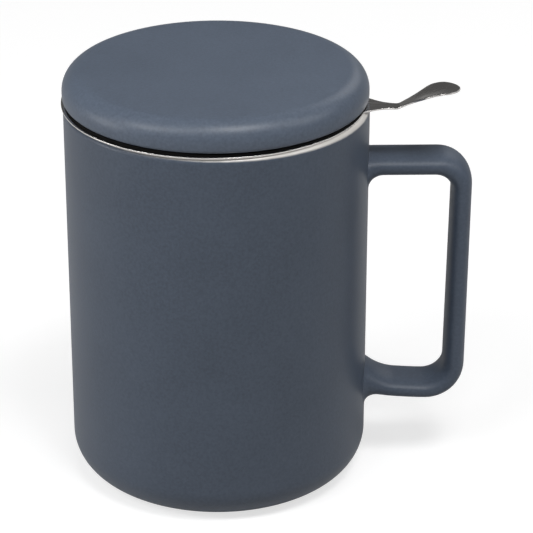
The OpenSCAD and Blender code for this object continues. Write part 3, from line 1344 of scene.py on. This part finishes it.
@dataclass(frozen=True)
class HolePattern:
    """Round holes in staggered rows, punched in a flat sheet before it is formed."""

    spacing: float = 2.9 * MM
    hole_r: float = 0.62 * MM
    sides_per_edge: int = 3
    inset_share: float = 0.12

    def diamonds(self, bm: BMesh, width: float, height: float) -> None:
        """Lays out the sheet as a lattice of diamonds, each of which takes a hole.

        Args:
            bm: The empty mesh that takes the sheet, which is centred on the origin.
            width: Width of the sheet along X.
            height: Height of the sheet along Y.
        """
        columns = round(width / self.spacing)
        rows = round(height / self.spacing)
        bmesh.ops.create_grid(bm, x_segments=columns, y_segments=rows, size=0.5)
        for vert in bm.verts:
            vert.co = Vector((vert.co.x * width, vert.co.y * height, 0))
        lattice = [edge for edge in bm.edges if not edge.is_boundary]
        bmesh.ops.poke(bm, faces=bm.faces)
        bmesh.ops.dissolve_edges(bm, edges=lattice, use_verts=False)

    def punch(self, bm: BMesh, blanks: Sequence[BMFace]) -> None:
        """Punches a round hole in the middle of each face.

        Args:
            bm: The flat sheet.
            blanks: The faces that take a hole.
        """
        inset = self.spacing * self.inset_share
        bmesh.ops.inset_individual(bm, faces=blanks, thickness=inset, use_even_offset=True)
        rims = {edge for face in blanks for edge in face.edges}
        bmesh.ops.subdivide_edges(bm, edges=list(rims), cuts=self.sides_per_edge - 1)
        for face in blanks:
            centre = face.calc_center_bounds()
            for vert in face.verts:
                vert.co = centre + (vert.co - centre).normalized() * self.hole_r
        bmesh.ops.delete(bm, geom=list(blanks), context="FACES")


@dataclass
class BasketWall:
    """The rolled and perforated wall of the basket, with its lap seam inside."""

    axis_x: float
    low_z: float
    high_z: float
    turn: float
    radius: float = 33.75 * MM
    sheet_t: float = 0.5 * MM
    seam_w: float = 5 * MM
    margin: float = 2.4 * MM
    floor_edge_h: float = 5 * MM
    skirt_cover: float = 4 * MM
    plain_columns: int = 4
    pattern: HolePattern = HolePattern()

    def roll(self, bm: BMesh, radius: float) -> None:
        """Rolls a flat sheet about the Z axis, its X going round from the side opposite the tab.

        Args:
            bm: The flat sheet, with its height along Y.
            radius: Radius of the face that looks outward.
        """
        for vert in bm.verts:
            angle = vert.co.x / self.radius
            vert.co = Vector((radius * math.cos(angle), radius * math.sin(angle), vert.co.y))

    def strips(self, bm: BMesh, edges: list[BMEdge], offsets: Sequence[Vector]) -> None:
        """Adds plain strips along an edge of the sheet.

        Args:
            bm: The flat sheet.
            edges: The edges that the strips start from.
            offsets: The move from each row to the next.
        """
        for offset in offsets:
            edges, verts = next_row(bm, edges)
            bmesh.ops.translate(bm, vec=offset, verts=verts)

    def build(self) -> Object:
        """Punches the sheet, closes it with plain bands, rolls it and lays the seam inside.

        Returns:
            The wall's object.
        """
        plain_x = self.seam_w + 2 * self.margin
        width = math.tau * self.radius - plain_x
        low = self.low_z + self.floor_edge_h + self.margin
        high = self.high_z - self.skirt_cover - self.margin
        bm = bmesh.new()
        self.pattern.diamonds(bm, width, high - low)
        blanks = [face for face in bm.faces if len(face.verts) == 4]
        self.pattern.punch(bm, blanks)
        bmesh.ops.translate(bm, vec=Vector((0, (low + high) / 2, 0)), verts=bm.verts)
        right = [e for e in bm.edges if all(v.co.x > width / 2 - SAME for v in e.verts)]
        column = Vector((plain_x / self.plain_columns, 0, 0))
        self.strips(bm, right, [column] * self.plain_columns)
        foot = [e for e in bm.edges if all(v.co.y < low + SAME for v in e.verts)]
        self.strips(bm, foot, [Vector((0, self.low_z - low, 0))])
        head = [e for e in bm.edges if all(v.co.y > high - SAME for v in e.verts)]
        self.strips(bm, head, [Vector((0, self.high_z - high, 0))])
        self.roll(bm, self.radius)
        bmesh.ops.remove_doubles(bm, verts=bm.verts, dist=10 * SAME)
        self.add_seam(bm, width, plain_x)
        bmesh.ops.recalc_face_normals(bm, faces=bm.faces)
        wrong = [f for f in bm.faces if f.normal.xy.dot(f.calc_center_median().xy) < 0]
        bmesh.ops.reverse_faces(bm, faces=wrong)
        seam_at = 180 - math.degrees((width + plain_x) / 2 / self.radius)
        shift(bm, self.axis_x, self.turn + seam_at)
        steel = SheetSteel(
            "basket_wall_steel",
            BASKET_STEEL,
            roughness=0.28,
            roughness_spread=0.07,
            line_scale=(90.0, 90.0, 2600.0),
        )
        placing = Placing("basket_wall_sheet", "infuser", "perforated_steel", ("basket_wall",))
        piece = make_piece(bm, placing, [steel.build()])
        thicken(piece, self.sheet_t)
        return piece

    def add_seam(self, bm: BMesh, width: float, plain_x: float) -> None:
        """Lays the lap of the seam against the inside of the rolled wall.

        Args:
            bm: The rolled wall.
            width: Width of the perforated stretch of the sheet.
            plain_x: Width of the plain band that holds the seam.
        """
        lap = bmesh.new()
        bmesh.ops.create_grid(lap, x_segments=self.plain_columns, y_segments=1, size=0.5)
        middle = width / 2 + plain_x / 2
        for vert in lap.verts:
            y = self.low_z if vert.co.y < 0 else self.high_z
            vert.co = Vector((middle + vert.co.x * self.seam_w, y, 0))
        self.roll(lap, self.radius - self.sheet_t)
        mesh = bpy.data.meshes.new("lap")
        lap.to_mesh(mesh)
        lap.free()
        bm.from_mesh(mesh)
        bpy.data.meshes.remove(mesh)


@dataclass
class BasketFloor:
    """The perforated floor of the basket, pressed up over the foot of the wall."""

    axis_x: float
    low_z: float
    turn: float
    bore_r: float = 33.8 * MM
    sheet_t: float = 0.5 * MM
    bend_r: float = 1.6 * MM
    edge_h: float = 5 * MM
    margin: float = 2.4 * MM
    bend_steps: int = 6
    segments: int = 144
    pattern: HolePattern = HolePattern()

    def build(self) -> Object:
        """Punches the disc, fills it out to a circle and presses its edge up.

        Returns:
            The floor's object.
        """
        flat_r = self.bore_r - self.bend_r
        top_z = self.low_z + self.sheet_t
        bm = bmesh.new()
        self.pattern.diamonds(bm, 2 * flat_r, 2 * flat_r)
        free_r = flat_r - self.margin
        outside = [
            face
            for face in bm.faces
            if len(face.verts) != 4 or max(v.co.length for v in face.verts) > free_r
        ]
        bmesh.ops.delete(bm, geom=outside, context="FACES")
        border = [edge for edge in bm.edges if edge.is_boundary]
        self.pattern.punch(bm, list(bm.faces))
        ring = bmesh.ops.create_circle(bm, segments=self.segments, radius=flat_r)["verts"]
        rim = list({edge for vert in ring for edge in vert.link_edges})
        bmesh.ops.triangle_fill(
            bm, edges=border + rim, use_beauty=True, use_dissolve=False, normal=(0, 0, 1)
        )
        bmesh.ops.translate(bm, vec=Vector((0, 0, top_z)), verts=bm.verts)
        bend = arc((flat_r, top_z + self.bend_r), self.bend_r, -90, 0, self.bend_steps)
        for r, z in bend[1:] + [(self.bore_r, top_z + self.bend_r + self.edge_h)]:
            rim, verts = next_row(bm, rim)
            for vert in verts:
                flat = vert.co.xy.normalized() * r
                vert.co = Vector((flat.x, flat.y, z))
        bmesh.ops.recalc_face_normals(bm, faces=bm.faces)
        middle = min(bm.faces, key=lambda face: face.calc_center_median().xy.length)
        if middle.normal.z < 0:
            bmesh.ops.reverse_faces(bm, faces=bm.faces)
        shift(bm, self.axis_x, self.turn)
        steel = SheetSteel(
            "basket_floor_steel",
            BASKET_STEEL,
            roughness=0.26,
            roughness_spread=0.07,
            line_scale=(30.0, 1500.0, 1500.0),
        )
        placing = Placing("basket_floor_sheet", "infuser", "perforated_steel", ("basket_floor",))
        piece = make_piece(bm, placing, [steel.build()])
        thicken(piece, self.sheet_t)
        return piece


# ---------------------------------------------------------------- the studio


def aim(thing: Object, place: Vector, target: Vector, roll: float = 0.0) -> None:
    """Sets up a lamp or a camera.

    Args:
        thing: The lamp or camera.
        place: Where it stands.
        target: The point that it looks at.
        roll: Its turn about its own line of sight, in degrees.
    """
    turn = (target - place).to_track_quat("-Z", "Y")
    thing.location = place
    thing.rotation_mode = "QUATERNION"
    thing.rotation_quaternion = turn @ Quaternion((0, 0, 1), math.radians(roll))
    bpy.context.scene.collection.objects.link(thing)


@dataclass(frozen=True)
class Softbox:
    """A square soft lamp that looks at the middle of the mug.

    Its bearing is counted in degrees from the camera's side, positive to the camera's right.
    """

    name: str
    bearing: float
    elevation: float
    size: float
    power: float
    distance: float = 1.3
    aim_z: float = 60 * MM

    def build(self) -> None:
        """Hangs the lamp."""
        data = bpy.data.lights.new(self.name, "AREA")
        data.shape = "SQUARE"
        data.size = self.size
        data.energy = self.power
        bearing, elevation = math.radians(self.bearing), math.radians(self.elevation)
        level = self.distance * math.cos(elevation)
        height = self.aim_z + self.distance * math.sin(elevation)
        place = Vector((level * math.sin(bearing), -level * math.cos(bearing), height))
        aim(bpy.data.objects.new(self.name, data), place, Vector((0, 0, self.aim_z)))


@dataclass
class Studio:
    """The pale floor, the lamps, the room and the camera."""

    floor_size: float = 12.0
    floor_drop: float = 0.05 * MM
    floor_colour: Colour = (0.45, 0.45, 0.45)
    floor_lift: float = 0.69
    mirror_share: float = 0.3
    room_grey: float = 0.02
    back_grey: float = 0.08
    back_band: Band = (0.2, 0.7)
    horizon_white: float = 0.4
    horizon_band: Band = (0.03, 0.14)
    camera_place: Triple = (0.0, -0.65233, 0.37228)
    camera_target: Triple = (0.014059, 0.0, 0.061019)
    camera_roll: float = 0.062
    camera_clip: Band = (0.01, 100.0)
    lens: float = 168.86
    sensor: float = 36.0
    # Each lamp's name, bearing, elevation, size and power
    lamps: tuple[Softbox, ...] = (
        Softbox("left_softbox", -85, 10, 0.5, 3.8),
        Softbox("front_left_softbox", -60, 40, 0.36, 4.12),
        Softbox("high_left_softbox", -35, 52, 0.36, 2.51),
        Softbox("front_softbox", 12, 64, 0.36, 3.43),
        Softbox("front_right_softbox", 35, 64, 0.36, 5.2),
        Softbox("right_softbox", 80, 40, 0.5, 2.61),
        Softbox("back_right_softbox", 150, 30, 0.5, 1.3),
    )

    def build(self) -> None:
        """Sets up the floor, the room, the lamps and the camera."""
        self.build_floor()
        self.build_room()
        for lamp in self.lamps:
            lamp.build()
        self.build_camera()
        LOG.info("studio: %d lamps and a floor", len(self.lamps))

    def seen_share(self, nodes: Nodes) -> NodeSocket:
        """A socket with the share of the floor's lift that a ray sees.

        Args:
            nodes: The node tree that takes the nodes.

        Returns:
            The socket: 1 for camera rays, less for rays mirrored by steel and glaze, and 0 for
            rays that carry light.
        """
        path = nodes.add("LightPath").outputs
        mirrored = nodes.math("MAXIMUM", path["Is Glossy Ray"], path["Is Transmission Ray"])
        dimmed = nodes.math("MULTIPLY", mirrored, self.mirror_share)
        return nodes.math("MAXIMUM", path["Is Camera Ray"], dimmed)

    def build_floor(self) -> None:
        """Lays the floor, which shows paler than its light makes it."""
        material = bpy.data.materials.new("pale_floor")
        material.use_nodes = True
        nodes = Nodes(material.node_tree, "OutputMaterial")
        paint, glow, both = (nodes.add(kind) for kind in ("BsdfDiffuse", "Emission", "AddShader"))
        lift = nodes.math("MULTIPLY", self.seen_share(nodes), self.floor_lift)
        for value, target in (
            (self.floor_colour, paint.inputs["Color"]),
            (lift, glow.inputs["Strength"]),
            (paint.outputs[0], both.inputs[0]),
            (glow.outputs[0], both.inputs[1]),
            (both.outputs[0], nodes.output.inputs["Surface"]),
        ):
            nodes.put(value, target)
        bm = bmesh.new()
        bmesh.ops.create_grid(bm, x_segments=1, y_segments=1, size=self.floor_size / 2)
        bmesh.ops.translate(bm, vec=Vector((0, 0, -self.floor_drop)), verts=bm.verts)
        floor = mesh_object(bm, "floor", [material])

    def build_room(self) -> None:
        """Surrounds the object with a dark room, pale at the horizon and white to the camera."""
        world = bpy.data.worlds.new("studio_room")
        world.use_nodes = True
        bpy.context.scene.world = world
        nodes = Nodes(world.node_tree, "OutputWorld")
        place = nodes.coordinates("Generated")
        behind, above = nodes.along(place, "Y"), nodes.along(place, "Z")
        back = nodes.spread(behind, self.back_band, self.room_grey, self.back_grey)
        fall = nodes.spread(above, self.horizon_band, self.horizon_white, back)
        camera_ray = nodes.add("LightPath").outputs["Is Camera Ray"]
        room = nodes.add("Background")
        nodes.put((1.0, 1.0, 1.0), room.inputs["Color"])
        nodes.put(nodes.math("MAXIMUM", fall, camera_ray), room.inputs["Strength"])
        nodes.put(room.outputs[0], nodes.output.inputs["Surface"])

    def build_camera(self) -> None:
        """Puts the camera where the photograph was taken from."""
        data = bpy.data.cameras.new("camera")
        data.sensor_width = self.sensor
        data.lens = self.lens
        data.clip_start, data.clip_end = self.camera_clip
        camera = bpy.data.objects.new("camera", data)
        aim(camera, Vector(self.camera_place), Vector(self.camera_target), self.camera_roll)
        bpy.context.scene.camera = camera
        bpy.context.scene.view_settings.view_transform = "Standard"


# ---------------------------------------------------------------- the whole


def middle_and_radius(node: str) -> Point:
    """The axis and radius of a round node, from its box.

    Args:
        node: The node's name.

    Returns:
        The X of its axis, and its radius.
    """
    low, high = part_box(node)
    return (low.x + high.x) / 2, (high.x - low.x) / 2


def build_mug() -> None:
    """Builds the cup and its handle."""
    _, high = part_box("mug_body")
    Cup(radius=high.x, height=high.z).build()
    StrapHandle(cup_radius=high.x, outer_x=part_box("mug_handle")[1].x).build()


def build_infuser() -> None:
    """Builds the rim with its tab, and the basket."""
    axis_x, _ = middle_and_radius("basket_floor")
    rim_low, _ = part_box("infuser_rim")
    wall_low, wall_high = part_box("basket_wall")
    floor_low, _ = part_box("basket_floor")
    rim_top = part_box("lid_seal")[1].z - LidSeal.washer_t - REST_GAP
    RimAndTab(axis_x, axis_x - rim_low.x, rim_top, INFUSER_TURN).build()
    BasketWall(axis_x, wall_low.z, wall_high.z, INFUSER_TURN).build()
    BasketFloor(axis_x, floor_low.z, INFUSER_TURN).build()


def build_lid() -> None:
    """Builds the lid and its seal."""
    axis_x, radius = middle_and_radius("lid")
    low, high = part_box("lid")
    Lid(axis_x, radius, high.z, low.z).build()
    seal_axis, seal_r = middle_and_radius("lid_seal")
    seal_low, seal_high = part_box("lid_seal")
    LidSeal(seal_axis, seal_r, seal_high.z, seal_low.z).build()


def main() -> None:
    """Builds the mug, the infuser and the lid, and sets them in the studio."""
    logging.basicConfig(level=logging.INFO, format="%(name)s: %(message)s")
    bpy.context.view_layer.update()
    build_mug()
    build_infuser()
    build_lid()
    Studio().build()
    bpy.context.view_layer.update()


if __name__ == "__main__":
    main()
